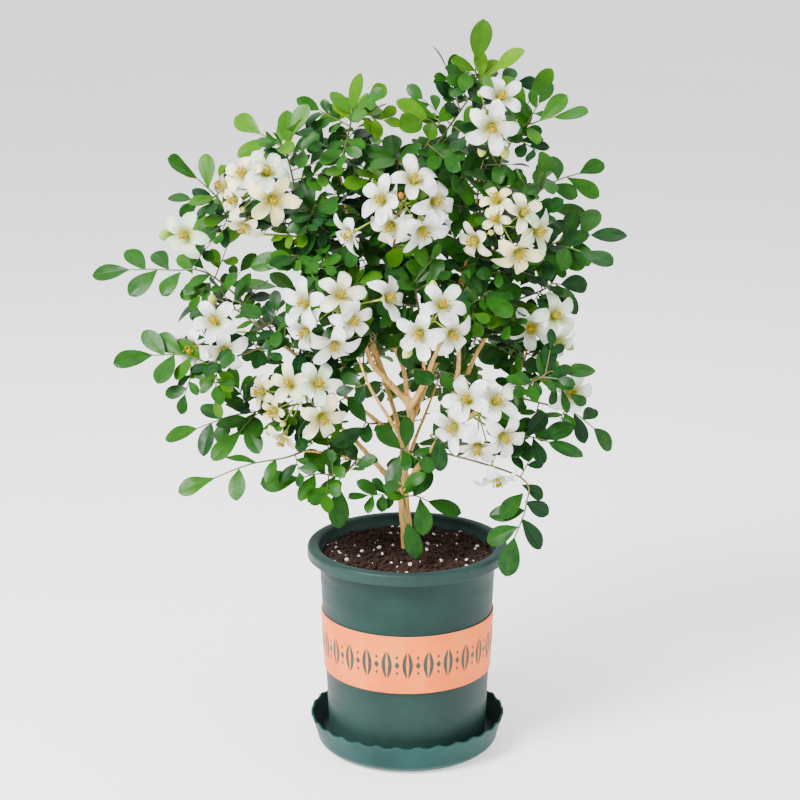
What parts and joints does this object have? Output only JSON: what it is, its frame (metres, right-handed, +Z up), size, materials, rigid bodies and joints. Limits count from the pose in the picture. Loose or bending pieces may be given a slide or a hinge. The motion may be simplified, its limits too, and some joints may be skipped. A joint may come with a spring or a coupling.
{
  "type": "potted orange jasmine bonsai",
  "caption": "Small flowering shrub with pinnate glossy leaves and white bloom clusters, in a round banded plastic pot on a scalloped saucer.",
  "frame": {"origin": "centre of the saucer's flat underside, on the surface that it stands on", "axes": "+Z up, -Y towards the front side, +X to the right of someone who looks at the front"},
  "size_m": [0.4432, 0.2712, 0.6178],
  "materials": {
    "green_plastic": "satin moulded plastic, dark teal green",
    "saucer_plastic": "satin moulded plastic, a little lighter than the pot",
    "salmon_band": "smooth printed band, salmon with a dark green ornament",
    "potting_mix": "dark crumbly peat with white perlite",
    "bark": "thin tan bark with fine cracks",
    "leaf": "glossy leaf, dark to yellow green",
    "petal": "soft white to cream petal, yellow anthers"
  },
  "bodies": {
    "root": {"flowers_back": "petal", "flowers_centre": "petal", "flowers_centre_left": "petal", "flowers_far_left": "petal", "flowers_far_right": "petal", "flowers_left": "petal", "flowers_lower_left": "petal", "flowers_lower_right": "petal", "flowers_right": "petal", "flowers_top": "petal", "flowers_upper_centre": "petal", "flowers_upper_left": "petal", "flowers_upper_right": "petal", "pot": "green_plastic", "pot_band": "salmon_band", "saucer": "saucer_plastic", "soil": "potting_mix", "spray_apex": "leaf", "spray_back_left": "leaf", "spray_back_left_low": "leaf", "spray_back_left_upper": "leaf", "spray_back_low": "leaf", "spray_back_middle": "leaf", "spray_back_right": "leaf", "spray_back_right_low": "leaf", "spray_back_top": "leaf", "spray_back_upper": "leaf", "spray_centre_left": "leaf", "spray_centre_low": "leaf", "spray_far_left": "leaf", "spray_far_right": "leaf", "spray_front_low": "leaf", "spray_inner_centre": "leaf", "spray_inner_left_mid": "leaf", "spray_inner_right": "leaf", "spray_inner_right_mid": "leaf", "spray_inner_top": "leaf", "spray_inner_upper_left": "leaf", "spray_inner_upper_right": "leaf", "spray_left": "leaf", "spray_left_lower": "leaf", "spray_left_mid": "leaf", "spray_left_upper": "leaf", "spray_low_centre": "leaf", "spray_low_left": "leaf", "spray_low_left_inner": "leaf", "spray_low_right": "leaf", "spray_lower_left": "leaf", "spray_mid_left": "leaf", "spray_right_drooping": "leaf", "spray_right_low": "leaf", "spray_right_mid": "leaf", "spray_right_outer": "leaf", "spray_right_small": "leaf", "spray_top_left": "leaf", "spray_top_middle": "leaf", "spray_top_right": "leaf", "spray_upper_left": "leaf", "spray_upper_right": "leaf", "trunk_and_limbs": "bark"}
  },
  "joints": []
}
